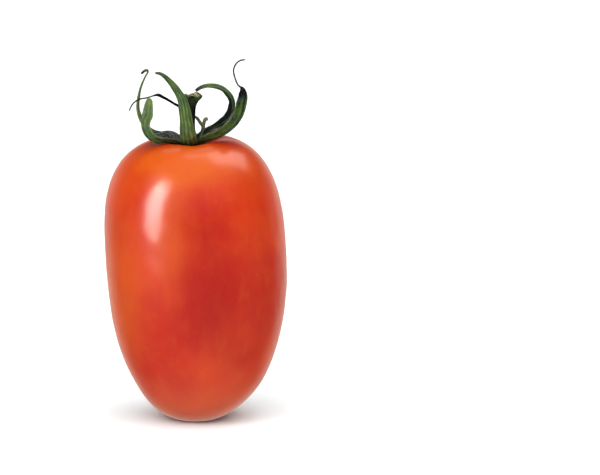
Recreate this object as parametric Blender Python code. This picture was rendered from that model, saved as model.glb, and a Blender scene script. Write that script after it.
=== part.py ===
"""A plum tomato standing on its blossom end, with its green calyx and the stub of its stem.

Metres, +Z up. The origin is the centre of the small flat spot that the fruit rests on.
"""

import math

import bmesh
import bpy
import numpy as np
from mathutils import Matrix, Quaternion, Vector

MM = 0.001
GAP = 0.0003
ABOVE_ALL = 0.2
SHARP_ANGLE = 50.0

# The fruit: a turned body of two superellipse halves that meet at its widest ring
FRUIT_RADIUS = 0.0249
WIDEST_HEIGHT = 0.0459
CROWN_HEIGHT = 0.0333
CROWN_POWER = 2.95
TAPER_HEIGHT = 0.0466
TAPER_POWER = 2.2
FRUIT_SEGMENTS = 56
FRUIT_RINGS = 44

# The fruit's axis wanders sideways on its way up: towards the belly, then back at the crown
BELLY_LEAN = 0.0009
CROWN_LEAN = -0.0008
BELLY_LEAN_TOP = 0.012
CROWN_LEAN_START = 0.030
CROWN_LEAN_TOP = 0.078

# The section is a little out of round: (lobes, share of the radius, direction in degrees)
OUT_OF_ROUND = ((2, 0.008, 20.0), (3, 0.007, -50.0))

# Soft furrows between the lobes of the shoulder: (direction in degrees, depth)
FURROWS = ((-84.0, 0.0005), (4.0, 0.0002), (66.0, 0.0013), (134.0, 0.0011), (200.0, 0.0003))
FURROW_SPREAD = 13.0
FURROW_INNER_RADIUS = 0.010
FURROW_SHARE = 0.7

# The crown, from where the shoulders begin to where they are full, and its slope to each side
SHOULDER_FOOT = 0.050
SHOULDER_TOP = 0.074
CROWN_TILT = Vector((0.022, 0.045, 0.0))

# The hollow at the stem end, round the calyx's centre
CALYX_CENTRE = Vector((-0.0010, 0.0, 0.0769))
HOLLOW_DEPTH = 0.0029
HOLLOW_RADIUS = 0.0070
HOLLOW_POWER = 3.0

# The disc that the sepals grow from, a little above the calyx's centre
DISC_RISE = 0.0004
DISC_RADIUS = 0.0035
DISC_THICKNESS = 0.0014
DISC_SEGMENTS = 24
DISC_RINGS = 8
ROOT_RADIUS = 0.0021

# Sepals: channelled blades with a section at every STATION_SPACING of their length. A section
# has points at these shares of its half width, and thins from its keel to its edges.
ROOT_THICKNESS = 0.95 * MM
BLADE_THICKNESS = 0.65 * MM
STATION_SPACING = 0.95 * MM
CURVE_STEPS = 12
ACROSS = (-1.0, -0.55, 0.0, 0.55, 1.0)
EDGE_SHARE = 0.65
CHANNEL_POWER = 1.4
KEEL_CLEARANCE = GAP + 0.6 * ROOT_THICKNESS

# Each sepal leaves the disc in its own direction (degrees from +X, towards +Y) and follows its
# own curl: points on its keel in millimetres, as (right, back, up) from the calyx's centre.
# Widths in millimetres, the depth of the channel as a share of the half width, and the twist in
# degrees are evenly spaced from root to tip.
SEPALS = {
    "front": {
        "direction": -93,
        "curl": ((-0.2, -4.8, 0.4), (-0.6, -7.4, 1.9), (-0.8, -8.9, 4.4), (-0.95, -9.6, 7.3),
                 (-1.2, -9.7, 10.6), (-1.9, -8.9, 13.9), (-3.4, -7.3, 16.5), (-5.4, -5.2, 18.5),
                 (-7.2, -3.8, 19.6), (-8.5, -3.1, 20.0), (-9.7, -2.7, 20.0)),
        "widths": (3.6, 4.8, 4.2, 3.95, 3.8, 3.2, 2.2, 1.5, 0.6),
        "channel": (0.1, 0.3, 0.4, 0.45, 0.5, 0.55, 0.6),
        "twist": (0, 0, 0, 0, 0),
    },
    "left_front": {
        "direction": 214,
        "curl": ((-3.8, -2.8, 0.4), (-6.3, -4.5, 0.7), (-9.0, -6.1, 1.2), (-11.3, -7.0, 2.6),
                 (-12.6, -7.3, 4.8), (-12.8, -7.3, 7.4), (-12.2, -7.1, 10.0), (-11.6, -6.8, 12.2),
                 (-11.0, -6.5, 13.6)),
        "widths": (3.6, 4.6, 4.7, 4.3, 4.2, 4.3, 4.2, 0.8),
        "channel": (0.2, 0.7, 0.6, 0.4, 0.5, 0.6),
        "twist": (0, -14, 0, 22, 24),
    },
    "left_back": {
        "direction": 141,
        "curl": ((-4.6, 3.9, 0.6), (-8.4, 6.3, 1.2), (-12.0, 7.8, 2.6), (-14.2, 8.3, 5.4),
                 (-15.1, 8.3, 8.6), (-14.9, 8.2, 11.8), (-14.0, 7.7, 15.2), (-12.8, 6.9, 18.0),
                 (-12.2, 6.3, 19.3), (-12.3, 6.0, 19.9), (-13.0, 5.8, 19.9), (-13.9, 5.6, 18.9)),
        "widths": (3.2, 3.8, 3.2, 2.2, 1.5, 1.3, 1.2, 1.0, 0.7),
        "channel": (0.2, 0.6, 0.7, 0.6, 0.5),
        "twist": (0, -10, 0, 0, 0),
    },
    "back": {
        "direction": 97,
        "curl": ((-0.6, 4.9, 0.8), (-1.0, 7.2, 2.9), (-1.6, 7.0, 6.2), (-2.9, 5.1, 9.4),
                 (-5.0, 3.7, 11.0), (-7.4, 2.5, 12.6), (-9.3, 1.6, 13.4), (-12.0, 0.2, 12.8),
                 (-14.2, -0.7, 12.4), (-15.9, -0.9, 11.1), (-16.9, -0.9, 9.1)),
        "widths": (3.4, 4.2, 3.8, 2.2, 0.9, 1.1, 0.9, 0.6, 0.6),
        "channel": (0.2, 0.5, 0.6, 0.5, 0.3, 0.0),
        "twist": (0, 0, 0, 0, 0),
    },
    "right_back": {
        "direction": 47,
        "curl": ((3.2, 3.6, 1.0), (5.8, 5.0, 2.2), (8.7, 6.3, 4.0), (10.8, 7.0, 6.3),
                 (11.7, 7.2, 9.4), (11.4, 7.0, 12.0), (9.8, 6.5, 14.2), (7.4, 5.8, 15.6),
                 (4.9, 5.2, 15.9), (2.7, 4.6, 15.4), (1.1, 4.0, 14.4)),
        "widths": (3.4, 4.4, 4.6, 3.8, 2.6, 1.9, 1.6, 1.0),
        "channel": (0.3, 0.8, 0.8, 0.7, 0.5),
        "twist": (0, -14, 0, 0, 0),
    },
    "right_front": {
        "direction": -38,
        "curl": ((3.1, -2.8, 0.9), (5.8, -4.0, 1.9), (9.1, -4.8, 3.3), (12.0, -5.1, 5.4),
                 (13.8, -5.0, 8.2), (14.8, -4.7, 11.5), (14.9, -4.4, 13.8), (14.4, -4.3, 15.2),
                 (13.4, -4.3, 16.7), (12.6, -4.3, 18.7), (12.0, -4.2, 20.6), (12.4, -4.1, 22.2),
                 (13.5, -4.0, 23.3), (15.2, -4.0, 23.6)),
        "widths": (3.6, 4.6, 4.9, 5.0, 4.9, 4.8, 4.8, 4.4, 2.0, 0.7, 0.6, 0.6, 0.6),
        "channel": (0.2, 0.8, 0.8, 0.7, 0.5, 0.0, 0.0),
        "twist": (0, 16, 6, -12, 0, 0),
    },
    "withered": {
        "direction": 12,
        "curl": ((2.6, 1.2, 2.0), (3.3, 1.3, 4.5), (2.6, 1.3, 5.7), (1.8, 1.4, 6.9),
                 (1.2, 1.4, 7.6)),
        "widths": (1.8, 1.3, 0.9, 0.8, 0.7),
        "channel": (0.0, 0.0),
        "twist": (0, 0),
    },
    "withered_curl": {
        "direction": 12,
        "curl": ((2.8, 1.1, 2.0), (3.4, 1.1, 4.2), (3.6, 1.0, 5.8), (4.1, 0.9, 6.8),
                 (4.6, 0.8, 6.4)),
        "widths": (1.6, 1.2, 0.9, 0.8, 0.7),
        "channel": (0.0, 0.0),
        "twist": (0, 0),
    },
}

# The stem: (right, back, up) from the calyx's centre, and its radius, in millimetres
STEM_COURSE = (
    ((0.0, 0.0, 1.5), 1.55),
    ((0.0, 0.1, 2.5), 1.30),
    ((0.0, 0.2, 5.0), 1.15),
    ((0.1, 0.3, 8.0), 1.15),
    ((0.2, 0.4, 10.6), 1.30),
    ((0.3, 0.4, 12.2), 1.75),
    ((0.4, 0.4, 13.2), 2.55),
    ((0.4, 0.4, 13.9), 2.40),
)


def clear_scene():
    for obj in list(bpy.data.objects):
        bpy.data.objects.remove(obj)


def new_collection(name):
    collection = bpy.data.collections.new(name)
    bpy.context.scene.collection.children.link(collection)
    return collection


def material(name, colour, roughness):
    made = bpy.data.materials.new(name)
    made.use_nodes = True
    shader = made.node_tree.nodes["Principled BSDF"]
    shader.inputs["Base Color"].default_value = (*colour, 1.0)
    shader.inputs["Roughness"].default_value = roughness
    shader.inputs["Metallic"].default_value = 0.0
    return made


def object_from(name, bm, collection, finish):
    mesh = bpy.data.meshes.new(name)
    bm.to_mesh(mesh)
    bm.free()
    mesh.materials.append(finish)
    mesh.shade_smooth()
    mesh.set_sharp_from_angle(angle=math.radians(SHARP_ANGLE))
    obj = bpy.data.objects.new(name, mesh)
    collection.objects.link(obj)
    return obj


def ease(value):
    """Goes smoothly from 0 to 1 as value does."""
    value = min(max(value, 0.0), 1.0)
    return value * value * (3.0 - 2.0 * value)


def axis_offset(height):
    """Sideways place of the fruit's axis at this height."""
    lean = BELLY_LEAN * ease(height / BELLY_LEAN_TOP)
    way_up = (height - CROWN_LEAN_START) / (CROWN_LEAN_TOP - CROWN_LEAN_START)
    return lean + (CROWN_LEAN - BELLY_LEAN) * ease(way_up)


def furrow_depth(angle):
    """Depth of the shoulder's furrows in this direction round the axis, in radians."""
    depth = 0.0
    for direction, deepest in FURROWS:
        away = (math.degrees(angle) - direction + 180.0) % 360.0 - 180.0
        depth += deepest * math.exp(-((away / FURROW_SPREAD) ** 2))
    return depth


def fruit_point(ray):
    """Moves a point of the unit sphere to the fruit's skin."""
    out = math.hypot(ray.x, ray.y)
    angle = math.atan2(ray.y, ray.x)
    if ray.z > 0.0:
        half, power = CROWN_HEIGHT, CROWN_POWER
    else:
        half, power = TAPER_HEIGHT, TAPER_POWER
    reach = ((out / FRUIT_RADIUS) ** power + (abs(ray.z) / half) ** power) ** (-1.0 / power)
    radius = reach * out
    height = WIDEST_HEIGHT + reach * ray.z
    for lobes, share, direction in OUT_OF_ROUND:
        radius *= 1.0 + share * math.cos(lobes * (angle - math.radians(direction)))
    shoulder = ease((height - SHOULDER_FOOT) / (SHOULDER_TOP - SHOULDER_FOOT))
    crease = furrow_depth(angle) * shoulder * ease(radius / FURROW_INNER_RADIUS)
    radius -= crease * FURROW_SHARE
    height -= crease * FURROW_SHARE
    x = axis_offset(height) + radius * math.cos(angle)
    y = radius * math.sin(angle)
    height += CROWN_TILT.dot((x, y, 0.0)) * shoulder
    from_stem = math.hypot(x - CALYX_CENTRE.x, y - CALYX_CENTRE.y)
    height -= HOLLOW_DEPTH * math.exp(-((from_stem / HOLLOW_RADIUS) ** HOLLOW_POWER)) * shoulder
    return Vector((x, y, height))


def make_fruit(collection):
    """The fruit, cut flat where it rests."""
    bm = bmesh.new()
    bmesh.ops.create_uvsphere(bm, u_segments=FRUIT_SEGMENTS, v_segments=FRUIT_RINGS, radius=1.0)
    for vertex in bm.verts:
        vertex.co = fruit_point(vertex.co)
    everything = bm.verts[:] + bm.edges[:] + bm.faces[:]
    cut = bmesh.ops.bisect_plane(
        bm, geom=everything, plane_co=(0, 0, 0), plane_no=(0, 0, -1), clear_outer=True
    )
    rim = [item for item in cut["geom_cut"] if isinstance(item, bmesh.types.BMEdge)]
    bmesh.ops.edgeloop_fill(bm, edges=rim)
    bmesh.ops.recalc_face_normals(bm, faces=bm.faces)
    finish = material("tomato_skin", (0.72, 0.075, 0.022), 0.28)
    return object_from("fruit", bm, collection, finish)


def skin_height(fruit, x, y):
    """Height of the fruit's skin under (x, y), looking down from above."""
    hit, place, _, _ = fruit.ray_cast(Vector((x, y, ABOVE_ALL)), Vector((0, 0, -1)))
    return place.z if hit else 0.0


def smooth_course(points, spacing):
    """Points spaced evenly along a smooth curve through the given ones."""
    ends = [points[0] * 2 - points[1], *points, points[-1] * 2 - points[-2]]
    fine = [points[0]]
    for before, start, stop, after in zip(ends, ends[1:], ends[2:], ends[3:]):
        for step in range(1, CURVE_STEPS + 1):
            t = step / CURVE_STEPS
            fine.append(0.5 * (
                2 * start
                + (stop - before) * t
                + (2 * before - 5 * start + 4 * stop - after) * t ** 2
                + (3 * start - before - 3 * stop + after) * t ** 3
            ))
    steps = [(b - a).length for a, b in zip(fine, fine[1:])]
    travelled = np.concatenate([[0.0], np.cumsum(steps)])
    count = round(travelled[-1] / spacing)
    wanted = np.linspace(0.0, travelled[-1], count + 1)
    columns = [np.interp(wanted, travelled, [p[axis] for p in fine]) for axis in range(3)]
    return [Vector(place) for place in zip(*columns)]


def along(values, share):
    """Reads evenly spaced values at this share of the way from the first to the last."""
    return float(np.interp(share, np.linspace(0.0, 1.0, len(values)), values))


def carried_frames(course, across, twists):
    """(across, inward) directions at each point, carried along without spinning, then twisted."""
    frames = []
    heading = (course[1] - course[0]).normalized()
    across = (across - heading * across.dot(heading)).normalized()
    for index, _ in enumerate(course):
        ahead = course[min(index + 1, len(course) - 1)]
        behind = course[max(index - 1, 0)]
        new_heading = (ahead - behind).normalized()
        across = heading.rotation_difference(new_heading) @ across
        heading = new_heading
        turn = Quaternion(heading, math.radians(along(twists, index / (len(course) - 1))))
        turned = turn @ across
        frames.append((turned, turned.cross(heading)))
    return frames


def blade_section(centre, across, inward, width, thickness, channel):
    """One closed section of a blade: its outer side from edge to edge, then its inner side."""
    outer, inner = [], []
    for u in ACROSS:
        lift = channel * width / 2 * abs(u) ** CHANNEL_POWER
        half = thickness / 2 * (1.0 - (1.0 - EDGE_SHARE) * u ** 2)
        middle = centre + across * (u * width / 2) + inward * lift
        outer.append(middle - inward * half)
        inner.append(middle + inward * half)
    return outer + inner[::-1]


def loft(bm, sections):
    """A closed skin through sections that all have the same number of points."""
    rings = [[bm.verts.new(place) for place in section] for section in sections]
    for low, high in zip(rings, rings[1:]):
        for index, corner in enumerate(low):
            after = (index + 1) % len(low)
            bm.faces.new((corner, low[after], high[after], high[index]))
    bm.faces.new(rings[0][::-1])
    bm.faces.new(rings[-1])
    bmesh.ops.recalc_face_normals(bm, faces=bm.faces)


def sepal_course(fruit, sepal):
    """The line that a sepal follows, kept clear of the skin below it."""
    direction = math.radians(sepal["direction"])
    outward = Vector((math.cos(direction), math.sin(direction), 0.0))
    points = [CALYX_CENTRE + outward * ROOT_RADIUS]
    points += [CALYX_CENTRE + Vector(place) * MM for place in sepal["curl"]]
    course = smooth_course(points, STATION_SPACING)
    for place in course:
        place.z = max(place.z, skin_height(fruit, place.x, place.y) + KEEL_CLEARANCE)
    return course, outward


def make_sepal(name, fruit, sepal, collection, finish):
    course, outward = sepal_course(fruit, sepal)
    sideways = Vector((0, 0, 1)).cross(outward)
    frames = carried_frames(course, -sideways, sepal["twist"])
    sections = []
    for index, (centre, (across, inward)) in enumerate(zip(course, frames)):
        share = index / (len(course) - 1)
        width = along(sepal["widths"], share) * MM
        thickness = along((ROOT_THICKNESS, BLADE_THICKNESS, BLADE_THICKNESS), share)
        channel = along(sepal["channel"], share)
        sections.append(blade_section(centre, across, inward, width, thickness, channel))
    bm = bmesh.new()
    loft(bm, sections)
    return object_from(name, bm, collection, finish)


def make_disc(fruit, collection, finish):
    """The round pad in the hollow of the fruit, its underside following the skin."""
    middle = CALYX_CENTRE + Vector((0, 0, DISC_RISE))
    bm = bmesh.new()
    bmesh.ops.create_uvsphere(
        bm, u_segments=DISC_SEGMENTS, v_segments=DISC_RINGS, radius=1.0,
        matrix=Matrix.LocRotScale(middle, None, (DISC_RADIUS, DISC_RADIUS, DISC_THICKNESS / 2)),
    )
    for vertex in bm.verts:
        if vertex.co.z < middle.z - GAP / 2:
            vertex.co.z = skin_height(fruit, vertex.co.x, vertex.co.y) + GAP
    return object_from("calyx", bm, collection, finish)


def fuse(obj, collection):
    """Joins everything in the collection into obj, then removes it."""
    union = obj.modifiers.new("sepals", "BOOLEAN")
    union.operation = "UNION"
    union.solver = "EXACT"
    union.operand_type = "COLLECTION"
    union.collection = collection
    graph = bpy.context.evaluated_depsgraph_get()
    joined = bpy.data.meshes.new_from_object(obj.evaluated_get(graph))
    obj.modifiers.clear()
    obj.data = joined
    for blade in list(collection.objects):
        bpy.data.objects.remove(blade)
    bpy.data.collections.remove(collection)


def make_calyx(fruit, collection):
    """The disc and its sepals, grown together."""
    finish = material("calyx_green", (0.070, 0.125, 0.030), 0.6)
    calyx = make_disc(fruit, collection, finish)
    blades = new_collection("sepals")
    for name, sepal in SEPALS.items():
        make_sepal("sepal_" + name, fruit, sepal, blades, finish)
    fuse(calyx, blades)
    return calyx


def make_stem(collection):
    """The stub of stem, swollen at the joint where it came away from the vine."""
    curve = bpy.data.curves.new("stem", "CURVE")
    curve.dimensions = "3D"
    curve.bevel_depth = 1.0
    curve.bevel_resolution = 5
    curve.use_fill_caps = True
    spline = curve.splines.new("POLY")
    spline.points.add(len(STEM_COURSE) - 1)
    for point, (place, radius) in zip(spline.points, STEM_COURSE):
        point.co = (*(CALYX_CENTRE + Vector(place) * MM), 1.0)
        point.radius = radius * MM
    curve.materials.append(material("stem_green", (0.035, 0.060, 0.020), 0.65))
    stem = bpy.data.objects.new("stem", curve)
    collection.objects.link(stem)
    return stem


def main():
    clear_scene()
    tomato = new_collection("plum_tomato")
    fruit = make_fruit(tomato)
    bpy.context.view_layer.update()
    make_calyx(fruit, tomato)
    make_stem(tomato)


main()
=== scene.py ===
# A plum tomato standing on its blossom end, with its calyx and a stub of stem.
# Metres throughout, z up, standing on z = 0 with the origin under the fruit.

import math
import random

import bmesh
import bpy
import numpy as np
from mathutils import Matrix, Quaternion, Vector, noise
from mathutils.bvhtree import BVHTree


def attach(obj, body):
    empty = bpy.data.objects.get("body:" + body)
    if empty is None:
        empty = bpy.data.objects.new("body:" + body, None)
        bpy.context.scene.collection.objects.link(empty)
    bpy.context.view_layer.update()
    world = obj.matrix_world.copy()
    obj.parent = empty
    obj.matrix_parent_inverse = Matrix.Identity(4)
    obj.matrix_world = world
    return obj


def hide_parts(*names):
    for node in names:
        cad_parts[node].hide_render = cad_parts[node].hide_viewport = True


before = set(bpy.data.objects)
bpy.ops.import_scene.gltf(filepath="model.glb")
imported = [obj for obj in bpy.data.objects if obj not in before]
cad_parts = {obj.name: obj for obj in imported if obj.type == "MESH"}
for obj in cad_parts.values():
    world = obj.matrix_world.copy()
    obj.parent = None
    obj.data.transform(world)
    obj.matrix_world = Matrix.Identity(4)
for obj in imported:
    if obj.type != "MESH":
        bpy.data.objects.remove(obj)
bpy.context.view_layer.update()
print("frame loaded:", ", ".join(sorted(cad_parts)))

mm = 0.001
rootBody = "root"


# Small sums used all over

def ease(value):
    value = np.clip(value, 0.0, 1.0)
    return value * value * (3.0 - 2.0 * value)


def bump(value, middle, spread):        # 1 at the middle, falling off softly to both sides
    return np.exp(-(((value - middle) / spread) ** 2))


def along(values, share):        # reads evenly spaced values, 0 at the first and 1 at the last
    return np.interp(share, np.linspace(0.0, 1.0, len(values)), values)


def wander(places, scale, seed=0.0):        # smooth noise from -1 to 1 at each place
    shift = Vector((seed * 7.3, seed * 3.1, seed * 5.7))
    return np.array([noise.noise(Vector(place) * scale + shift) for place in places])


# Materials: a wire is one socket, and sums on it add Math nodes

class Wire:
    def __init__(self, socket):
        self.socket = socket

    def node(self, kind, settings, inputs, output=0):
        tree = self.socket.id_data
        made = tree.nodes.new("ShaderNode" + kind)
        for name, value in settings.items():
            setattr(made, name, value)
        for name, value in inputs.items():
            if isinstance(value, Wire):
                tree.links.new(value.socket, made.inputs[name])
            else:
                made.inputs[name].default_value = value
        return Wire(made.outputs[output])

    def math(self, operation, *values):
        return self.node("Math", {"operation": operation}, dict(enumerate(values)))

    def __add__(self, other):
        return self.math("ADD", self, other)

    def __sub__(self, other):
        return self.math("SUBTRACT", self, other)

    def __rsub__(self, other):
        return self.math("SUBTRACT", other, self)

    def __mul__(self, other):
        return self.math("MULTIPLY", self, other)

    __radd__ = __add__
    __rmul__ = __mul__

    def ramp(self, start, stop, low=0.0, high=1.0):        # eases from low to high between two values
        inputs = {"Value": self, "From Min": start, "From Max": stop, "To Min": low, "To Max": high}
        return self.node("MapRange", {"interpolation_type": "SMOOTHSTEP"}, inputs)

    def stretched(self, amounts):
        return self.node("VectorMath", {"operation": "MULTIPLY"}, {0: self, 1: amounts})

    def distance(self, place):
        return self.node("VectorMath", {"operation": "DISTANCE"}, {0: self, 1: place}, "Value")

    def cloud(self, scale, detail=2.0, roughness=0.5):
        inputs = {"Vector": self, "Scale": scale, "Detail": detail, "Roughness": roughness}
        return self.node("TexNoise", {}, inputs)

    def paint(self, under, over):        # this mask lays one colour over another
        return self.node("Mix", {"data_type": "RGBA"}, {0: self, 6: under, 7: over}, 2)

    def attribute(self, name):
        return self.node("Attribute", {"attribute_name": name}, {}, "Fac")


def rgb(red, green, blue):        # a colour as a screen shows it, 0 to 255
    shares = [value / 255.0 for value in (red, green, blue)]
    return (*[s / 12.92 if s <= 0.04045 else ((s + 0.055) / 1.055) ** 2.4 for s in shares], 1.0)


def newMaterial(name, constants):
    made = bpy.data.materials.new(name)
    made.use_nodes = True
    shader = made.node_tree.nodes["Principled BSDF"]
    for socket, value in constants.items():
        shader.inputs[socket].default_value = value
    place = Wire(made.node_tree.nodes.new("ShaderNodeTexCoord").outputs["Object"])
    return made, shader, place


def feed(shader, wires):
    for socket, wire in wires.items():
        shader.id_data.links.new(wire.socket, shader.inputs[socket])


def relief(height, strength, distance):
    inputs = {"Height": height, "Strength": strength, "Distance": distance}
    return height.node("Bump", {}, inputs)


# Pieces

def newPiece(name, mesh, material, slot, *nodes):
    mesh.materials.append(material)
    mesh.shade_smooth()
    piece = bpy.data.objects.new(name, mesh)
    bpy.context.scene.collection.objects.link(piece)
    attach(piece, rootBody)
    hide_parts(*nodes)
    return piece


def gridMesh(name, rings, attributes):        # rings of points joined to a skin, closed at both ends
    count, around = rings.shape[:2]
    places = rings.reshape(-1, 3)
    faces = []
    for ring in range(count - 1):
        for step in range(around):
            after = (step + 1) % around
            low, high = ring * around, (ring + 1) * around
            faces.append((low + step, low + after, high + after, high + step))
    for ring, turn in ((0, -1), (count - 1, 1)):
        middle = len(places)
        places = np.vstack([places, rings[ring].mean(axis=0)])
        for step in range(around):
            pair = (ring * around + step, ring * around + (step + 1) % around)
            faces.append((*pair[::turn], middle))
        for key in attributes:
            attributes[key] = np.append(attributes[key], attributes[key][ring * around])
    mesh = bpy.data.meshes.new(name)
    mesh.from_pydata(places.tolist(), [], faces)
    for key, values in attributes.items():
        mesh.attributes.new(key, "FLOAT", "POINT").data.foreach_set("value", values)
    solid = bmesh.new()
    solid.from_mesh(mesh)
    bmesh.ops.recalc_face_normals(solid, faces=solid.faces)
    solid.to_mesh(mesh)
    solid.free()
    return mesh


# The camera stands where the photograph was taken from

view = {
    "aim": (0.0290, 0.0, 0.0509),
    "distance": 0.8,
    "lookDown": 9.0,
    "frameWidth": 0.16574,        # how much of the scene the frame holds at that distance
}


def makeCamera():
    down = math.radians(view["lookDown"])
    data = bpy.data.cameras.new("camera")
    data.lens = data.sensor_width * view["distance"] / view["frameWidth"]
    data.clip_start = 0.01
    camera = bpy.data.objects.new("camera", data)
    back = Vector((0.0, -math.cos(down), math.sin(down)))
    camera.location = Vector(view["aim"]) + back * view["distance"]
    camera.rotation_euler = (math.pi / 2 - down, 0.0, 0.0)
    bpy.context.scene.collection.objects.link(camera)
    bpy.context.scene.camera = camera


makeCamera()
print("camera placed")


# The fruit: two superellipse halves on a shared widest ring, with furrows at the shoulder

fruit = {
    "radius": 0.0249,
    "widest": 0.0459,        # height of the widest ring
    "crown": (0.0333, 2.95),        # half height and power of each half
    "taper": (0.0466, 2.2),
    "lean": (0.0009, 0.0, 0.012),        # sideways drift of the axis: share, from height, to height
    "crownLean": (-0.0017, 0.030, 0.078),
    "outOfRound": ((2, 0.008, 20.0), (3, 0.007, -50.0)),        # lobes, share, direction
    "furrows": ((-84.0, 0.0005), (4.0, 0.0002), (66.0, 0.0002), (134.0, 0.0005), (200.0, 0.0003)),
    "furrowSpread": 18.0,
    "furrowInner": 0.010,
    "furrowShare": 0.7,
    "shoulder": (0.050, 0.074),
    "crownTilt": (0.022, 0.045),
    "hollow": (0.0029, 0.0070, 3.0),        # depth, radius, power
    "footBlend": 0.0003,        # how softly the skin turns flat where it rests
    # uneven skin: (depth, how fine, squeeze of its height), calm inside this radius under the calyx
    "facets": (0.00016, 95.0, 0.35),
    "dents": (0.00008, 260.0, 0.8),
    "calmRadius": 0.014,
    "dimple": (0.0004, 0.0011),        # height and radius of the blossom's dimple in the foot
    "stepsRound": 288,
    "stepsUp": 224,
}
calyxCentre = np.array((-0.0010, 0.0, 0.0769))


def axisOffset(height):
    offset = 0.0
    for drift, start, stop in (fruit["lean"], fruit["crownLean"]):
        offset = offset + drift * ease((height - start) / (stop - start))
    return offset


def furrowDepth(angle):
    depth = 0.0
    for direction, deepest in fruit["furrows"]:
        away = (np.degrees(angle) - direction + 180.0) % 360.0 - 180.0
        depth = depth + deepest * bump(away, 0.0, fruit["furrowSpread"])
    return depth


def fruitPlaces(rays):        # moves points of the unit sphere to the skin
    out = np.hypot(rays[:, 0], rays[:, 1])
    angle = np.arctan2(rays[:, 1], rays[:, 0])
    above = rays[:, 2] > 0.0
    half = np.where(above, fruit["crown"][0], fruit["taper"][0])
    power = np.where(above, fruit["crown"][1], fruit["taper"][1])
    reach = (out / fruit["radius"]) ** power + (np.abs(rays[:, 2]) / half) ** power
    reach = reach ** (-1.0 / power)
    radius = reach * out
    height = fruit["widest"] + reach * rays[:, 2]
    for lobes, share, direction in fruit["outOfRound"]:
        radius = radius * (1.0 + share * np.cos(lobes * (angle - math.radians(direction))))
    start, stop = fruit["shoulder"]
    shoulder = ease((height - start) / (stop - start))
    crease = furrowDepth(angle) * shoulder * ease(radius / fruit["furrowInner"])
    radius = radius - crease * fruit["furrowShare"]
    height = height - crease * fruit["furrowShare"]
    x = axisOffset(height) + radius * np.cos(angle)
    y = radius * np.sin(angle)
    height = height + (fruit["crownTilt"][0] * x + fruit["crownTilt"][1] * y) * shoulder
    depth, width, steepness = fruit["hollow"]
    fromStem = np.hypot(x - calyxCentre[0], y - calyxCentre[1])
    height = height - depth * np.exp(-((fromStem / width) ** steepness)) * shoulder
    return np.column_stack([x, y, height])


def makeFruitMesh():
    turns = np.linspace(0.0, 2 * math.pi, fruit["stepsRound"], endpoint=False)
    tilts = np.linspace(0.0, math.pi, fruit["stepsUp"] + 1)[1:-1]        # from the foot up
    rays = np.vstack([
        np.column_stack([
            math.sin(tilt) * np.cos(turns), math.sin(tilt) * np.sin(turns),
            np.full_like(turns, -math.cos(tilt)),
        ]) for tilt in tilts
    ])
    places = fruitPlaces(rays)
    calm = ease(np.hypot(places[:, 0], places[:, 1]) / fruit["calmRadius"])
    outward = np.column_stack([rays[:, 0], rays[:, 1], np.zeros(len(rays))])
    uneven = 0.0
    for seed, (depth, scale, squeeze) in enumerate((fruit["facets"], fruit["dents"]), 1):
        uneven = uneven + wander(places * (1.0, 1.0, squeeze), scale, float(seed)) * depth
    places = places + outward * (uneven * calm)[:, None]
    # flat foot, with the blossom's small dimple in its middle
    low = places[:, 2]
    places[:, 2] = 0.5 * (low + np.sqrt(low * low + fruit["footBlend"] ** 2))
    places[:, 2] -= places[:, 2].min()
    rise, radius = fruit["dimple"]
    places[:, 2] += rise * bump(np.hypot(places[:, 0], places[:, 1]), 0.0, radius) * (low < 0.01)
    mesh = gridMesh("tomatoFruit", places.reshape(len(tilts), -1, 3), {})
    corners = [vertex.co for vertex in mesh.vertices]
    return mesh, BVHTree.FromPolygons(corners, [tuple(face.vertices) for face in mesh.polygons])


skinLook = {
    "ripe": rgb(174, 31, 10),
    "warm": rgb(189, 50, 13),
    "orange": rgb(188, 76, 12),
    "deep": rgb(154, 1, 9),
    "pale": rgb(190, 100, 56),
    "cork": rgb(94, 73, 41),
    "roughness": 0.28,
    # soft patches, measured in a stretched space: (stretch, centre, where they end, where they are full)
    "patches": {
        "crown": ((0.7, 0.8, 1.5), (-0.001, -0.0120, 0.1110), 0.0130, 0.004),
        "band": ((1.0, 0.6, 0.30), (-0.0045, -0.0144, 0.0171), 0.0085, 0.001),
        "left": ((1.0, 0.7, 0.35), (-0.019, -0.0075, 0.0135), 0.012, 0.002),
        "front": ((1.0, 0.8, 0.55), (0.0040, -0.0190, 0.0208), 0.0128, 0.002),
        "behind": ((0.8, 1.0, 0.5), (-0.006, 0.0225, 0.0215), 0.016, 0.003),
        "shoulder": ((1.0, 1.0, 1.0), (0.003, -0.0235, 0.058), 0.011, 0.002),
        # painted shade round the calyx, laid on in the deep red
        "calyxShade": ((1.0, 1.0, 1.0), tuple(calyxCentre), 0.0170, 0.0100),
        "stemRing": ((1.0, 1.0, 1.0), tuple(calyxCentre), 0.0058, 0.0036),
        "blossomScar": ((1.0, 1.0, 1.0), (0.0, 0.0, 0.0), 0.0016, 0.0007),
    },
}


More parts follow.
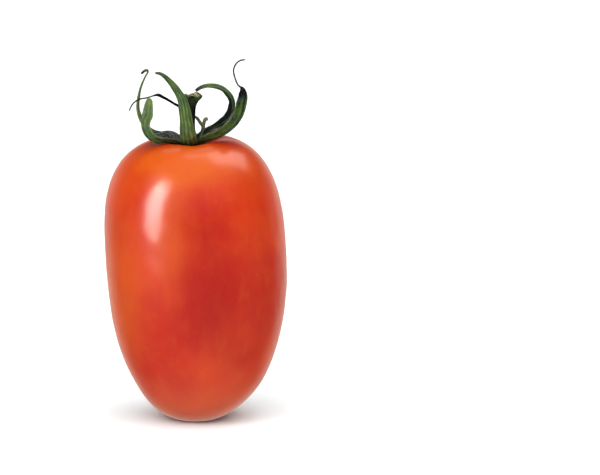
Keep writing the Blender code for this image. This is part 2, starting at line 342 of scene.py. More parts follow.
def skinMaterial():
    material, shader, place = newMaterial("tomatoSkin", {
        "Subsurface Weight": 0.16,
        "Subsurface Radius": (1.0, 0.22, 0.08),
        "Subsurface Scale": 0.004,
        "IOR": 1.46,
        "Specular IOR Level": 0.62,
        "Specular Tint": (1.0, 0.86, 0.76, 1.0),
        "Coat Roughness": 0.20,
    })
    patches = {
        name: place.stretched(stretch).distance(centre).ramp(end, full)
        for name, (stretch, centre, end, full) in skinLook["patches"].items()
    }
    height = place.node("SeparateXYZ", {}, {0: place}, 2)
    drift = place.cloud(42.0, 2.0)        # broad patches
    mottle = place.stretched((1.0, 1.0, 0.6)).cloud(330.0, 3.0, 0.6)
    strands = place.stretched((1.0, 1.0, 0.16)).cloud(120.0, 2.0, 0.5)        # lengthwise strands
    grain = place.cloud(1300.0, 3.0, 0.7)        # fine grain of the flesh behind the skin

    colour = drift.ramp(0.38, 0.66).paint(skinLook["ripe"], skinLook["warm"])
    # less ripe warmth: the front of the crown, its other sides, and bands running down
    crown = patches["crown"]
    ring = height.ramp(0.060, 0.075) * drift.ramp(0.35, 0.60, 0.35, 0.85)
    warmth = crown * 0.82 + ring * 0.6 + patches["band"] * 0.5 + patches["left"] * 0.7
    colour = (warmth * strands.ramp(0.2, 0.7, 0.8, 1.1)).paint(colour, skinLook["orange"])
    # fully ripe patches, and painted shade in a deep red ring round the calyx, where the sepals shade the
    # skin
    calyxShade = patches["calyxShade"] * (1 - crown)
    ripeAndShade = patches["front"] * 0.9 + patches["behind"] * 0.7 + patches["shoulder"] * 0.4 + calyxShade * 0.9
    colour = ripeAndShade.paint(colour, skinLook["deep"])
    unripeAndUnshaded = 1 - 0.7 * ripeAndShade
    colour = (mottle.ramp(0.45, 0.75) * 0.26 * unripeAndUnshaded).paint(colour, skinLook["orange"])
    colour = (mottle.ramp(0.48, 0.25) * 0.14).paint(colour, skinLook["deep"])
    colour = (strands.ramp(0.50, 0.75) * 0.16 * unripeAndUnshaded).paint(colour, skinLook["orange"])
    colour = (grain.ramp(0.50, 0.80) * 0.12).paint(colour, skinLook["pale"])
    # paler towards the foot: painted light from the white floor below
    colour = (height.ramp(0.017, 0.001) * 0.35).paint(colour, skinLook["pale"])
    # cork round the stem and on the blossom's scar
    stemRing, scar = patches["stemRing"], patches["blossomScar"]
    colour = ((stemRing + scar) * grain.ramp(0.3, 0.6, 0.6, 1.0)).paint(colour, skinLook["cork"])

    roughness = scar * 0.4 + stemRing * 0.3 + skinLook["roughness"]
    coat = 0.25 - 0.2 * (stemRing + scar)
    feed(shader, {
        "Base Color": colour,
        "Roughness": roughness,
        "Coat Weight": coat,
        "Normal": relief(mottle, 0.02, 0.0004),
    })
    return material


fruitMesh, skin = makeFruitMesh()
newPiece("tomatoFruit", fruitMesh, skinMaterial(), "fruit_skin", "fruit")
print("fruit made,", len(fruitMesh.polygons), "faces")


# The calyx: a lobed pad and its sepals, each following its own curl.
# Curls are points on the keel in millimetres, (right, back, up) from the calyx's centre. Widths
# (millimetres), channel (share of the half width), twist (degrees), dryness and darkness are
# evenly spaced from root to tip. A lobe is a bulge of one margin: (place, side, size, spread).
# A blunt blade narrows to its thread between two places. A body thickens a small sepal.

# Darkness is partly painted shade: it is higher on the sepals at the right, away from the window.
sepals = {
    "sepalFront": {
        "direction": -93,
        "curl": ((-0.2, -4.8, 0.4), (-0.6, -7.4, 1.9), (-0.8, -8.9, 4.4), (-1.0, -9.6, 7.3),
                 (-1.4, -9.7, 10.6), (-2.3, -8.9, 13.7), (-3.9, -7.3, 16.2), (-5.8, -5.2, 18.2),
                 (-7.3, -3.8, 19.4), (-8.5, -3.1, 19.9), (-9.7, -2.7, 19.9)),
        "widths": (3.6, 4.7, 4.2, 3.6, 3.0, 2.3, 1.8, 1.3, 0.7),
        "channel": (0.1, 0.4, 0.5, 0.6, 0.6, 0.6, 0.6),
        "twist": (0, 0, 0, 0, 0),
        "dry": (0, 0, 0, 0, 0, 0, 0.05, 0.1, 0.3),
        "dark": (0.6, 0.35, 0.3, 0.35, 0.45, 0.6, 0.7, 0.5),
        "lobes": ((0.22, -1, 0.15, 0.05), (0.50, 1, 0.15, 0.06)),
    },
    "sepalLeftFront": {
        "direction": 214,
        "curl": ((-3.8, -2.8, 0.4), (-6.3, -4.5, 0.7), (-9.0, -6.1, 1.2), (-11.3, -7.0, 2.6),
                 (-12.6, -7.3, 4.8), (-12.8, -7.3, 7.4), (-12.2, -7.1, 10.0), (-11.6, -6.8, 12.2),
                 (-11.0, -6.5, 13.6)),
        "widths": (3.6, 4.6, 4.9, 4.9, 4.6, 4.1, 3.9, 3.6, 1.9),
        "channel": (0.2, 0.7, 0.7, 0.6, 0.6, 0.6),
        "twist": (0, -14, 0, 22, 24),
        "dry": (0, 0, 0, 0, 0, 0.05, 0.2),
        "dark": (0.5, 0.4, 0.4, 0.4, 0.3, 0.15, 0.1),
        "lobes": ((0.80, -1, 0.50, 0.06), (0.66, -1, -0.25, 0.04)),
    },
    "sepalLeftBack": {
        "direction": 141,
        "curl": ((-4.6, 3.9, 0.6), (-8.4, 6.3, 1.2), (-12.0, 7.8, 2.6), (-14.2, 8.3, 5.4),
                 (-15.1, 8.3, 8.6), (-14.9, 8.2, 11.8), (-14.0, 7.7, 15.2), (-12.8, 6.9, 17.8),
                 (-12.1, 6.4, 19.0), (-12.05, 6.1, 19.6), (-12.5, 5.9, 19.75), (-13.1, 5.8, 19.4),
                 (-13.9, 5.6, 18.7)),
        "widths": (3.2, 3.8, 3.2, 2.3, 2.0, 1.8, 1.6, 1.3, 0.9, 0.7),
        "channel": (0.2, 0.6, 0.7, 0.4, 0.2, 0.2),
        "twist": (0, -10, 0, 0, 0),
        "dry": (0, 0, 0, 0.05, 0.05, 0.05, 0.1, 0.2, 0.6, 0.9),
        "dark": (0.5, 0.4, 0.2, 0.0, -0.2, -0.3, -0.2, 0.0, 0.9),
        "lobes": (),
    },
    "sepalBack": {
        "direction": 97,
        "curl": ((-0.6, 4.9, 0.8), (-1.0, 7.2, 2.9), (-1.6, 7.0, 6.2), (-2.9, 5.1, 9.4),
                 (-5.0, 3.7, 11.0), (-7.4, 2.5, 12.6), (-9.3, 1.6, 13.4), (-12.0, 0.2, 12.8),
                 (-14.2, -0.7, 12.4), (-15.9, -0.9, 11.1), (-16.9, -0.9, 9.1)),
        "widths": (3.4, 4.2, 3.8, 2.2, 1.2, 0.8, 0.75, 0.8, 0.5, 0.5, 0.5, 0.45),
        "channel": (0.2, 0.5, 0.6, 0.5, 0.3, 0.0),
        "twist": (0, 0, 0, 0, 0),
        "dry": (0, 0, 0.2, 0.7, 1, 1, 1, 1, 1),
        "dark": (0.5, 0.5, 0.6, 0.9, 1, 1, 1, 0.8, 0.7, 0.8, 0.7),
        "lobes": ((0.675, 1, 0.22, 0.03), (0.665, -1, 0.10, 0.04)),
    },
    "sepalRightBack": {
        "direction": 47,
        "curl": ((3.2, 3.6, 1.0), (5.8, 5.0, 2.2), (8.7, 6.3, 4.0), (10.8, 7.0, 6.3),
                 (11.7, 7.2, 9.4), (11.4, 7.0, 12.0), (9.8, 6.5, 14.2), (7.4, 5.8, 15.6),
                 (4.9, 5.2, 15.9), (2.7, 4.6, 15.4), (1.1, 4.0, 14.4)),
        "widths": (3.4, 4.4, 4.6, 3.8, 2.7, 2.1, 1.9, 1.8, 1.6),
        "channel": (0.3, 0.8, 0.8, 0.8, 0.9, 0.9, 0.7),
        "twist": (0, -14, 0, 0, 0),
        "dry": (0, 0, 0, 0, 0, 0.05, 0.2, 0.6),
        "dark": (0.7, 0.85, 0.95, 0.9, 0.8, 0.5, 0.45, 0.8),
        "lobes": ((0.42, 1, 0.2, 0.04),),
    },
    "sepalRightFront": {
        "direction": -38,
        "curl": ((3.1, -2.8, 0.9), (5.8, -4.0, 1.9), (9.1, -4.8, 3.3), (12.0, -5.1, 5.4),
                 (14.0, -5.0, 8.2), (15.1, -4.7, 11.5), (15.3, -4.4, 13.8), (14.6, -4.3, 15.6),
                 (13.1, -4.3, 16.8), (12.3, -4.3, 18.7), (11.9, -4.2, 20.6), (12.4, -4.1, 22.2),
                 (13.5, -4.0, 23.3), (15.2, -4.0, 23.7)),
        "widths": (3.6, 4.6, 4.9, 5.1, 5.2, 5.3, 5.2, 4.9, 4.4, 4.4, 4.4, 4.4, 4.4),
        "blunt": (0.695, 0.72),
        "channel": (0.2, 0.8, 0.8, 0.7, 0.5, 0.0, 0.0),
        "twist": (0, 16, 6, -12, 0, 0),
        "dry": (0, 0, 0, 0, 0, 0, 0.05, 0.2, 0.8, 1, 1, 1, 1),
        "dark": (0.5, 0.4, 0.4, 0.4, 0.5, 0.6, 0.7, 0.9, 0.9, 0.8, 0.7, 0.7, 0.7),
        "lobes": ((0.44, 1, 0.30, 0.02), (0.56, 1, 0.45, 0.02), (0.64, 1, 0.35, 0.04)),
    },
    "sepalWithered": {
        "direction": 12,
        "curl": ((2.6, 1.2, 2.0), (3.3, 1.3, 4.5), (2.6, 1.3, 5.7), (1.8, 1.4, 6.9),
                 (1.2, 1.4, 7.6)),
        "widths": (2.0, 1.7, 1.4, 1.3, 1.0),
        "body": 1.9,
        "channel": (0.0, 0.0),
        "twist": (0, 0),
        "dry": (0.0, 0.0, 0.5, 0.9, 0.9),
        "dark": (0.9, 0.9, 0.6, 0.3, 0.5),
        "lobes": ((0.45, 1, 0.3, 0.08),),
    },
    "sepalWitheredCurl": {
        "direction": 12,
        "curl": ((2.8, 1.1, 2.0), (3.4, 1.1, 4.2), (3.6, 1.0, 5.8), (4.1, 0.9, 6.8),
                 (4.6, 0.8, 6.4)),
        "widths": (1.8, 1.6, 1.3, 1.3, 1.1),
        "body": 1.9,
        "channel": (0.0, 0.0),
        "twist": (0, 0),
        "dry": (0.0, 0.0, 0.5, 0.9, 0.9),
        "dark": (0.9, 0.9, 0.6, 0.1, 0.1),
        "lobes": ((0.85, -1, 0.75, 0.12), (0.85, 1, 0.4, 0.12)),
    },
}

blade = {
    "rootRadius": 2.1 * mm,
    "rootThickness": 0.95 * mm,
    "rootLength": 4 * mm,        # over which it thins to the blade
    "thickness": 0.46 * mm,
    "edgeShare": 0.42,
    "channelPower": 1.4,
    "clearance": 0.50 * mm,        # keel above the fruit's skin
    "spacing": 0.30 * mm,
    "pointsAcross": 19,
    "threadWidth": 0.62,        # in millimetres, of the thread that a blunt blade ends in
    "threadTrim": 0.06,        # how much finer the dried threads are, in millimetres
    "threadDepth": 0.8,        # depth of a thread as a share of its width
    "tipLength": 0.6 * mm,
    # lengthwise ribs and the grooves between them: (place, height in millimetres, spread)
    "ribs": ((0.0, 0.20, 0.13), (0.26, -0.12, 0.10), (0.50, 0.12, 0.13), (0.76, -0.07, 0.10)),
    "ribWander": 0.22,
    "wrinkle": 0.035 * mm,
    "waviness": 0.26 * mm,        # of the margins, up and down
    "raggedness": 0.0572 * mm,        # of the margins, in and out
    "seed": 11.0,
}


def skinHeight(x, y):
    hit = skin.ray_cast(Vector((x, y, 0.2)), Vector((0, 0, -1)))[0]
    return hit.z if hit else 0.0


def smoothCourse(points, spacing, steps=12):        # evenly spaced points on a smooth curve
    points = [np.array(point) for point in points]
    ends = [points[0] * 2 - points[1], *points, points[-1] * 2 - points[-2]]
    fine = [points[0]]
    for before, start, stop, after in zip(ends, ends[1:], ends[2:], ends[3:]):
        for t in np.arange(1, steps + 1) / steps:
            fine.append(0.5 * (
                2 * start + (stop - before) * t
                + (2 * before - 5 * start + 4 * stop - after) * t ** 2
                + (3 * start - before - 3 * stop + after) * t ** 3
            ))
    fine = np.array(fine)
    travelled = np.append(0.0, np.cumsum(np.linalg.norm(np.diff(fine, axis=0), axis=1)))
    wanted = np.linspace(0.0, travelled[-1], round(travelled[-1] / spacing) + 1)
    return np.column_stack([np.interp(wanted, travelled, fine[:, axis]) for axis in range(3)])


def carriedFrames(course, across, twists):        # directions carried along without spinning
    acrosses, inwards = [], []
    places = [Vector(place) for place in course]
    heading = (places[1] - places[0]).normalized()
    across = (across - heading * across.dot(heading)).normalized()
    for index in range(len(places)):
        ahead = places[min(index + 1, len(places) - 1)]
        behind = places[max(index - 1, 0)]
        newHeading = (ahead - behind).normalized()
        across = heading.rotation_difference(newHeading) @ across
        heading = newHeading
        turned = Quaternion(heading, math.radians(along(twists, index / (len(places) - 1)))) @ across
        acrosses.append(turned)
        inwards.append(turned.cross(heading))
    return np.array(acrosses), np.array(inwards)


def sepalMesh(name, sepal, seed):
    direction = math.radians(sepal["direction"])
    outward = np.array((math.cos(direction), math.sin(direction), 0.0))
    points = [calyxCentre + outward * blade["rootRadius"]]
    points += [calyxCentre + np.array(place) * mm for place in sepal["curl"]]
    course = smoothCourse(points, blade["spacing"])
    for place in course:
        place[2] = max(place[2], skinHeight(place[0], place[1]) + blade["clearance"])
    across, inward = carriedFrames(course, Vector(outward).cross(Vector((0, 0, 1))), sepal["twist"])

    share = np.linspace(0.0, 1.0, len(course))
    travelled = share * (len(course) - 1) * blade["spacing"]
    width = along(sepal["widths"], share)
    if "blunt" in sepal:        # the blade ends there and only its thread goes on
        start, stop = sepal["blunt"]
        width = width + (blade["threadWidth"] - width) * ease((share - start) / (stop - start)) ** 0.5
    width = width - blade["threadTrim"] * (1.0 - ease((width - 0.7) / 1.5))
    left = travelled[-1] - travelled
    tip = np.sqrt(np.clip(left / blade["tipLength"], 0.02, 1.0))
    width = width * tip * mm
    full = ease((width / mm - 0.8) / 2.0)        # 0 on a thread, 1 on a full blade
    root = 1.0 - ease(travelled / blade["rootLength"])
    thickness = blade["thickness"] + (blade["rootThickness"] - blade["thickness"]) * root
    thickness = np.minimum(thickness * sepal.get("body", 1.0), width * blade["threadDepth"])

    u = np.linspace(-1.0, 1.0, blade["pointsAcross"])
    side = np.where(u < 0, 0, 1)
    margins, curls = [], []
    for index, sign in enumerate((-1, 1)):
        path = np.column_stack([travelled, np.full_like(travelled, index * 0.01), 0 * travelled])
        wave = wander(path, 330.0, seed + index) + 0.5 * wander(path, 900.0, seed + index)
        margin = width / 2 + wave * blade["raggedness"] * full
        for place, lobeSide, size, spread in sepal["lobes"]:
            if lobeSide == sign:
                margin = margin + size * mm * bump(share, place, spread)
        margins.append(margin)
        curls.append(wander(path, 420.0, seed + 5 + index) * blade["waviness"] * full)
    margins, curls = np.array(margins), np.array(curls)

    reach = margins[side].T * u
    channel = along(sepal["channel"], share)[:, None] * width[:, None] / 2
    lift = channel * np.abs(u) ** blade["channelPower"] + curls[side].T * np.abs(u) ** 4
    edge = 1.0 - (1.0 - blade["edgeShare"] * full - (1.0 - full) * 0.25)[:, None] * u ** 2
    half = thickness[:, None] / 2 * edge
    line = np.column_stack([travelled, 0 * travelled, 0 * travelled])
    shift = wander(line, 260.0, seed + 9) * blade["ribWander"]
    ribs = 0.0
    for place, height, spread in blade["ribs"]:
        ribs = ribs + height * bump(np.abs(u[None, :] + shift[:, None]), place, spread)
    ridge = ribs * full[:, None]
    ribs = ridge * mm

    middle = course[:, None, :] + across[:, None, :] * reach[:, :, None]
    creases = np.column_stack([
        np.repeat(travelled * 0.35, len(u)), np.tile(u * 2.2 * mm, len(course)),
        np.full(len(u) * len(course), seed * mm),
    ])
    wrinkle = wander(creases, 900.0, seed).reshape(len(course), len(u)) * blade["wrinkle"]
    wrinkle = wrinkle * full[:, None] * (1.0 - u ** 4)
    outer = middle + inward[:, None, :] * (lift - half - ribs + wrinkle)[:, :, None]
    inner = middle + inward[:, None, :] * (lift + half - 0.6 * ribs + wrinkle)[:, :, None]
    rimReach = reach[:, [0, -1]] + np.array((-0.3, 0.3)) * half[:, [0, -1]]
    rim = course[:, None, :] + across[:, None, :] * rimReach[:, :, None]
    rim = rim + inward[:, None, :] * lift[:, [0, -1], None]
    rings = np.concatenate([outer, rim[:, 1:], inner[:, ::-1], rim[:, :1]], axis=1)

    ring = np.ones(rings.shape[:2])
    acrossRing = np.concatenate([u, [1.0], u[::-1], [-1.0]])
    innerRing = np.concatenate([0 * u, [0.5], 0 * u + 1.0, [0.5]])
    innerRing = ring * innerRing * full[:, None] + (1.0 - full)[:, None] * 0.3
    attributes = {
        "along": (ring * share[:, None]).ravel(),
        "across": (ring * acrossRing).ravel(),
        "inner": innerRing.ravel(),
        "dry": (ring * along(sepal["dry"], share)[:, None]).ravel(),
        "dark": (ring * along(sepal["dark"], share)[:, None]).ravel(),
        "ridge": np.hstack([ridge, ridge[:, -1:], ridge[:, ::-1], ridge[:, :1]]).ravel(),
    }
    return gridMesh(name, rings, attributes)


sepalLook = {
    "light": rgb(100, 116, 58),
    "mid": rgb(62, 84, 32),
    "dark": rgb(17, 34, 16),
    "bloom": rgb(66, 82, 76),
    "inner": rgb(6, 22, 16),
    "innerPale": rgb(92, 88, 91),
    "margin": rgb(114, 118, 88),
    "dried": rgb(102, 96, 70),
    "black": rgb(9, 9, 14),
}


def sepalMaterial():
    material, shader, place = newMaterial("sepalGreen", {
        "Subsurface Weight": 0.06,
        "Subsurface Radius": (0.5, 1.0, 0.2),
        "Subsurface Scale": 0.0006,
        "Specular IOR Level": 0.12,
    })
    way, across, inner, dry, dark, ridge = [
        place.attribute(name) for name in ("along", "across", "inner", "dry", "dark", "ridge")
    ]
    grid = place.node("CombineXYZ", {}, {0: way * 1.6, 1: across * 1.3, 2: dark})
    fibre = grid.cloud(7.0, 4.0, 0.65)        # lengthwise fibres
    blotch = place.cloud(420.0, 3.0, 0.55)
    speck = place.cloud(2600.0, 2.0, 0.6)
    out = across.math("ABSOLUTE", across)

    # the darkness per sepal is partly painted shade, darker on the right away from the window
    tone = dark + (blotch - 0.5) * 1.2 + (0.5 - fibre) * 1.0 - ridge * 2.4 + (speck - 0.5) * 0.4
    colour = tone.ramp(-0.15, 0.45).paint(sepalLook["light"], sepalLook["mid"])
    colour = tone.ramp(0.40, 1.0).paint(colour, sepalLook["dark"])
    bloom = (ridge.ramp(0.04, 0.17) * 0.7 + fibre.ramp(0.45, 0.60) * 0.6) * blotch.ramp(0.40, 0.60)
    colour = bloom.paint(colour, sepalLook["bloom"])
    flecks = speck.ramp(0.42, 0.60) * 0.7 + fibre.ramp(0.48, 0.64) * 0.6
    inside = (flecks * blotch.ramp(0.34, 0.56) * dark.ramp(0.85, 0.55, 0.05, 1.0)).paint(
        sepalLook["inner"], sepalLook["innerPale"]
    )
    colour = inner.ramp(0.5, 1.0).paint(colour, inside)
    margin = out.ramp(0.84, 1.0) * blotch.ramp(0.35, 0.60, 0.1, 0.7)
    colour = (margin * (1 - 0.7 * dark)).paint(colour, sepalLook["margin"])
    colour = (speck.ramp(0.62, 0.76) * 0.15 * (1 - dark)).paint(colour, sepalLook["margin"])
    withered = (dry + (fibre - 0.5) * 0.5 * dry).ramp(0.15, 0.85)
    # dried tissue runs from tan to black with the darkness, and that black is partly painted shade
    driedTipWithShade = dark.ramp(0.2, 0.9).paint(sepalLook["dried"], sepalLook["black"])
    colour = withered.paint(colour, driedTipWithShade)

    feed(shader, {
        "Base Color": colour,
        "Roughness": blotch.ramp(0.3, 0.7, 0.50, 0.72),
        "Normal": relief(fibre * 1.2 + speck * 0.4, 0.6, 0.0002),
    })
    return material


sepalGreen = sepalMaterial()
greens = []
for number, (name, sepal) in enumerate(sepals.items()):
    mesh = sepalMesh(name, sepal, blade["seed"] + number)
    greens.append(newPiece(name, mesh, sepalGreen, "sepal_green", "calyx"))
print("sepals made,", len(greens))


# The pad in the hollow that the sepals grow from: a ridge runs into each sepal

pad = {
    "rise": 0.4 * mm,
    "radius": 3.7 * mm,
    "top": 0.95 * mm,
    "lobe": 0.35 * mm,
    "lobeSpread": 16.0,
    "gap": 0.10 * mm,
    "stepsRound": 120,
    "stepsUp": 20,
}


def padMesh():
    angles = np.linspace(0.0, 2 * math.pi, pad["stepsRound"], endpoint=False)
    lobes = 0.0
    for sepal in sepals.values():
        away = (np.degrees(angles) - sepal["direction"] + 180.0) % 360.0 - 180.0
        lobes = np.maximum(lobes, bump(away, 0.0, pad["lobeSpread"]))
    rings = []
    for share in np.linspace(0.04, 1.0, pad["stepsUp"]):        # top, from the middle outward
        radius = pad["radius"] * (share + (lobes - 0.5) * 0.12 * share ** 2)
        x = calyxCentre[0] + radius * np.cos(angles)
        y = calyxCentre[1] + radius * np.sin(angles)
        z = calyxCentre[2] + pad["rise"] + pad["top"] * (1.0 - share ** 3) ** 0.5
        z = z + pad["lobe"] * (lobes - 0.5) * share * (1.0 - share ** 6)
        rings.append(np.column_stack([x, y, z]))
    for share in np.linspace(0.97, 0.04, pad["stepsUp"] // 2):        # underside, on the skin
        radius = pad["radius"] * (share + (lobes - 0.5) * 0.12 * share ** 2)
        x = calyxCentre[0] + radius * np.cos(angles)
        y = calyxCentre[1] + radius * np.sin(angles)
        z = np.array([skinHeight(*place) + pad["gap"] for place in zip(x, y)])
        rings.append(np.column_stack([x, y, np.minimum(z, calyxCentre[2] + pad["rise"])]))
    rings = np.array(rings)
    ring = np.ones(rings.shape[:2])
    across = np.zeros_like(ring) + (1.0 - lobes) * 0.8
    attributes = {
        "along": (ring * 0.0).ravel(),
        "across": across.ravel(),
        "inner": (ring * 0.4).ravel(),
        "dry": (ring * 0.05).ravel(),
        "dark": (ring * 0.75).ravel(),
        "ridge": (ring * (lobes - 0.5) * 0.2).ravel(),
    }
    return gridMesh("calyxPad", rings, attributes)


greens.append(newPiece("calyxPad", padMesh(), sepalGreen, "sepal_green", "calyx"))
print("pad made")


# The stem: a ribbed stub up to its swollen joint, torn off there with a pale scar

stem = {
    "course": (
        ((0.0, 0.0, 0.6), 2.10), ((0.0, 0.0, 1.5), 1.55), ((0.0, 0.1, 2.5), 1.30),
        ((0.0, 0.2, 5.0), 1.15), ((0.1, 0.3, 8.0), 1.15), ((0.2, 0.4, 10.6), 1.30),
        ((0.3, 0.4, 12.0), 1.70), ((0.4, 0.4, 12.9), 2.30), ((0.4, 0.4, 13.5), 2.45),
    ),
    "spacing": 0.2 * mm,
    "stepsRound": 64,
    "ribs": (7, 0.055, 30.0),        # how many, height as a share of the radius, spiral in degrees
    "lump": 0.09,        # unevenness as a share of the radius
    # lobes of the torn rim: (direction in degrees, rise, flare, spread in degrees)
    "rim": ((190, 0.80, 0.55, 22), (-8, -0.10, 0.50, 14), (248, -0.45, -0.1, 16), (62, 0.7, 0.1, 22),
            (118, -0.2, 0.3, 18), (-48, -0.6, -0.1, 20), (150, 0.3, -0.3, 10)),
    # the scar, from the rim inward: (share of the rim's radius, height above the rim)
    "scar": ((0.93, 0.10), (0.84, -0.05), (0.74, -0.40), (0.62, -0.55), (0.50, -0.35), (0.42, -0.15),
             (0.34, -0.30), (0.22, -0.38), (0.10, -0.30)),
}


def stemMesh():
    angles = np.linspace(0.0, 2 * math.pi, stem["stepsRound"], endpoint=False)
    centres = [calyxCentre + np.array(place) * mm for place, radius in stem["course"]]
    course = smoothCourse(centres, stem["spacing"])
    share = np.linspace(0.0, 1.0, len(course))
    knots = np.append(0.0, np.cumsum(np.linalg.norm(np.diff(centres, axis=0), axis=1)))
    radii = np.interp(share, knots / knots[-1], [radius * mm for place, radius in stem["course"]])
    for _ in range(3):        # soft changes of girth
        radii[1:-1] = (radii[:-2] + 2 * radii[1:-1] + radii[2:]) / 4
    count, height, spiral = stem["ribs"]
    rise, flare = np.zeros_like(angles), np.zeros_like(angles)
    for direction, up, out, spread in stem["rim"]:
        away = (np.degrees(angles) - direction + 180.0) % 360.0 - 180.0
        rise = rise + up * mm * bump(away, 0.0, spread)
        flare = flare + out * mm * bump(away, 0.0, spread)
    jag = wander(np.column_stack([np.cos(angles), np.sin(angles), 0 * angles]), 6.0, 3.0)

    rings, scar, dry = [], [], []
    for centre, radius, way in zip(course, radii, share):
        spun = angles * count + math.radians(spiral) * way * count
        uneven = wander(np.column_stack([np.cos(angles), np.sin(angles), 0 * angles + way * 3]), 1.6)
        swollen = ease((way - 0.70) / 0.30)
        around = radius * (1 + height * np.cos(spun) * (1 - 0.5 * swollen) + stem["lump"] * uneven)
        around = around + flare * swollen ** 2
        lifted = (rise + jag * 0.45 * mm) * swollen ** 3
        rings.append(np.column_stack([
            centre[0] + around * np.cos(angles), centre[1] + around * np.sin(angles),
            centre[2] + lifted,
        ]))
        scar.append(0 * angles)
        dry.append(0 * angles + 0.35 * swollen)
    top, rimRing = course[-1], rings[-1]
    for shrink, up in stem["scar"]:
        inside = top[:2] + (rimRing[:, :2] - top[:2]) * shrink
        fibre = wander(np.column_stack([np.cos(angles), np.sin(angles), 0 * angles + shrink]), 6.0, 9.0)
        height = top[2] + up * mm + (rimRing[:, 2] - top[2]) * shrink ** 3 + fibre * 0.12 * mm * shrink
        rings.append(np.column_stack([inside, height]))
        scar.append(0 * angles + ease((0.98 - shrink) / 0.15))
        dry.append(0 * angles + 0.5)
    attributes = {
        "scar": np.array(scar).ravel(),
        "dry": np.array(dry).ravel(),
        "along": np.repeat(np.append(share, [1.0] * len(stem["scar"])), len(angles)),
    }
    return gridMesh("stemStub", np.array(rings), attributes)


stemLook = {
    # near-black greens: painted shade, as the stem stands in the front sepal's shadow
    "green": rgb(15, 24, 15),
    "dark": rgb(3, 4, 7),
    "rimGreen": rgb(56, 74, 42),
    "scar": rgb(160, 152, 116),
    "fibre": rgb(54, 56, 34),
}


def stemMaterial():
    material, shader, place = newMaterial("stemGreen", {
        "Subsurface Weight": 0.05,
        "Subsurface Radius": (0.5, 1.0, 0.2),
        "Subsurface Scale": 0.0006,
        "Specular IOR Level": 0.12,
    })
    way, scar, dry = [place.attribute(name) for name in ("along", "scar", "dry")]
    strands = place.stretched((1.0, 1.0, 0.15)).cloud(1400.0, 3.0, 0.6)
    blotch = place.cloud(600.0, 3.0, 0.6)
    speck = place.cloud(3000.0, 2.0, 0.6)
    colour = strands.ramp(0.35, 0.65).paint(stemLook["dark"], stemLook["green"])
    colour = (way.ramp(0.30, 0.0) * 0.6).paint(colour, stemLook["green"])
    colour = ((dry * 2.6) * blotch.ramp(0.40, 0.58)).paint(colour, stemLook["rimGreen"])
    patches = place.cloud(1500.0, 3.0, 0.6)
    torn = (speck * 0.3 + patches * 0.7).ramp(0.42, 0.60).paint(stemLook["fibre"], stemLook["scar"])
    colour = scar.ramp(0.2, 0.8).paint(colour, torn)
    feed(shader, {
        "Base Color": colour,
        "Roughness": blotch.ramp(0.3, 0.7, 0.6, 0.8),
        "Normal": relief(strands * 0.8 + speck * 0.4, 0.5, 0.00012),
    })
    return material


greens.append(newPiece("stemStub", stemMesh(), stemMaterial(), "stem_green", "stem"))
print("stem made")


# Fine hairs on everything green

hairs = {
    "count": 3600,
    "length": (0.20 * mm, 0.50 * mm),
    "radius": 0.012 * mm,
    "sunk": 0.03 * mm,
    "bend": 0.35,
    "seed": 21,
    "green": rgb(107, 114, 83),
    "pale": rgb(143, 147, 123),
}


def hairMesh():
    draw = random.Random(hairs["seed"])
    spots = []
    for piece in greens:
        for face in piece.data.polygons:
            spots.append((face.area, face.center.copy(), face.normal.copy()))
    chosen = draw.choices(spots, weights=[area for area, _, _ in spots], k=hairs["count"])
    places, faces = [], []
    for _, foot, normal in chosen:
        tilt = Vector([draw.uniform(-1, 1) for _ in range(3)]) * 0.5
        heading = (normal + tilt).normalized()
        bend = Vector([draw.uniform(-1, 1) for _ in range(3)]) * hairs["bend"]
        length = draw.uniform(*hairs["length"])
        middle = foot + heading * length * 0.55
        tip = middle + (heading + bend).normalized() * length * 0.45
        sideA = heading.orthogonal().normalized()
        sideB = heading.cross(sideA)
        start = len(places)
        for centre, radius in ((foot - heading * hairs["sunk"], 1.0), (middle, 0.7)):
            for corner in range(3):
                turn = corner * 2 * math.pi / 3
                side = sideA * math.cos(turn) + sideB * math.sin(turn)
                places.append(centre + side * hairs["radius"] * radius)
        places.append(tip)
        faces.append((start + 2, start + 1, start))
        for corner in range(3):
            after = (corner + 1) % 3
            low, high = start + corner, start + 3 + corner
            faces.append((low, start + after, start + 3 + after, high))
            faces.append((high, start + 3 + after, start + 6))
    mesh = bpy.data.meshes.new("calyxHairs")
    mesh.from_pydata(places, [], faces)
    return mesh


def hairMaterial():
    material, shader, place = newMaterial("hairPale", {"Roughness": 0.5, "Specular IOR Level": 0.4})
    colour = place.cloud(500.0).ramp(0.3, 0.7).paint(hairs["green"], hairs["pale"])
    feed(shader, {"Base Color": colour})
    return material


newPiece("calyxHairs", hairMesh(), hairMaterial(), "sepal_green", "calyx")
print("hairs made")


# Studio: a pale floor under a wide soft sky, a tall window at the left and two high ones behind.
# The sky and the floor give light without a mirror image of their own in the skin.

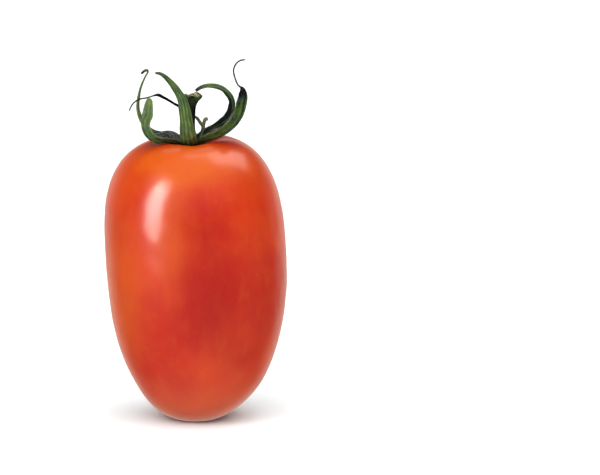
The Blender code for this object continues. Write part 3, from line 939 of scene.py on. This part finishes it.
studio = {
    "floorSize": 6.0,
    "floor": (0.91, 0.975, 0.975, 1.0),
    "ambient": 0.24,        # even light from all round
    "mirrored": 0.04,        # what the skin mirrors: nearly dark, paler low at the back and from below
    "backBand": 0.9,
    "below": 0.4,
    "mirroredTint": (1.0, 0.78, 0.66, 1.0),
    "skyDirection": (0.12, -0.50, 1.0),
    "skyAngle": 90.0,
    "skyStrength": 3.84,
    # size in metres, direction in degrees to the left and up, roll, distance, and brightness:
    # of the panes mirrored in the skin, from the lowest up, and of the light cast on everything
    "windows": {
        "tallWindow": {"size": (0.155, 0.60), "direction": (47.2, 20.0), "roll": -8.0,
                       "away": 0.62, "panes": (12.5, 14.0, 15.0, 16.5, 20.0, 15.0), "cast": 6.5},
        "shoulderWindow": {"size": (0.52, 0.70), "direction": (-126.0, 60.0), "roll": 0.0,
                           "away": 0.9, "panes": (2.3, 2.8, 2.8), "cast": 1.0},
        "crownWindow": {"size": (0.34, 0.10), "direction": (170.0, 55.0), "roll": 0.0,
                        "away": 0.9, "panes": (1.5,), "cast": 0.2},
    },
    "aim": (0.0, 0.0, 0.055),
}


def makeFloor():
    half = studio["floorSize"] / 2
    corners = [(-half, -half, 0.0), (half, -half, 0.0), (half, half, 0.0), (-half, half, 0.0)]
    mesh = bpy.data.meshes.new("floor")
    mesh.from_pydata(corners, [], [(0, 1, 2, 3)])
    material, shader, place = newMaterial("floorWhite", {
        "Base Color": studio["floor"],
        "Roughness": 0.9,
        "Specular IOR Level": 0.0,
    })
    mesh.materials.append(material)
    floor = bpy.data.objects.new("floor", mesh)
    floor.visible_glossy = False
    bpy.context.scene.collection.objects.link(floor)


def makeWorld():
    world = bpy.data.worlds.new("studio")
    world.use_nodes = True
    tree = world.node_tree
    background = tree.nodes["Background"]
    heading = Wire(tree.nodes.new("ShaderNodeTexCoord").outputs["Generated"])
    depth = heading.node("SeparateXYZ", {}, {0: heading}, 1)
    rise = heading.node("SeparateXYZ", {}, {0: heading}, 2)
    band = depth.ramp(0.30, 0.95) * rise.ramp(0.45, 0.05) * studio["backBand"]
    mirrored = band + rise.ramp(-0.5, -0.95) * studio["below"] + studio["mirrored"]
    seen = heading.node("LightPath", {}, {}, "Is Camera Ray")
    glossy = heading.node("LightPath", {}, {}, "Is Glossy Ray")
    light = glossy * mirrored + (1 - glossy) * studio["ambient"]
    tree.links.new(seen.math("MAXIMUM", seen, light).socket, background.inputs["Strength"])
    tint = (glossy * (1 - seen)).paint((1.0, 1.0, 1.0, 1.0), studio["mirroredTint"])
    tree.links.new(tint.socket, background.inputs["Color"])
    bpy.context.scene.world = world


def makeLights():
    scene = bpy.context.scene
    aim = Vector(studio["aim"])
    for name, window in studio["windows"].items():
        turn, up = [math.radians(angle) for angle in window["direction"]]
        away = Vector((-math.sin(turn) * math.cos(up), -math.cos(turn) * math.cos(up), math.sin(up)))
        facing = away.to_track_quat("Z", "Y") @ Quaternion((0, 0, 1), math.radians(window["roll"]))
        wide, tall = window["size"]
        high = tall / len(window["panes"])
        lamps = [("cast", window["cast"], tall, 0.0)]
        for number, glow in enumerate(window["panes"]):
            lamps.append((f"pane{number}", glow, high, (number + 0.5) * high - tall / 2))
        for use, glow, height, raised in lamps:
            data = bpy.data.lights.new(name, "AREA")
            data.shape = "RECTANGLE"
            data.size, data.size_y = wide, height
            data.energy = glow * math.pi * wide * height
            lamp = bpy.data.objects.new(f"{name}_{use}", data)
            behind = 1.03 if use == "cast" else 1.0        # clear of the panes, which would be hidden
            lamp.location = aim + away * window["away"] * behind + facing @ Vector((0, raised, 0))
            lamp.rotation_euler = facing.to_euler()
            lamp.visible_glossy = use != "cast"
            lamp.visible_diffuse = use == "cast"
            scene.collection.objects.link(lamp)

    data = bpy.data.lights.new("sky", "SUN")
    data.energy = studio["skyStrength"]
    data.angle = math.radians(studio["skyAngle"])
    sky = bpy.data.objects.new("sky", data)
    sky.rotation_euler = Vector(studio["skyDirection"]).to_track_quat("Z", "Y").to_euler()
    sky.visible_glossy = False
    scene.collection.objects.link(sky)


makeFloor()
makeWorld()
makeLights()
bpy.context.scene.view_settings.view_transform = "Standard"
print("studio lit")
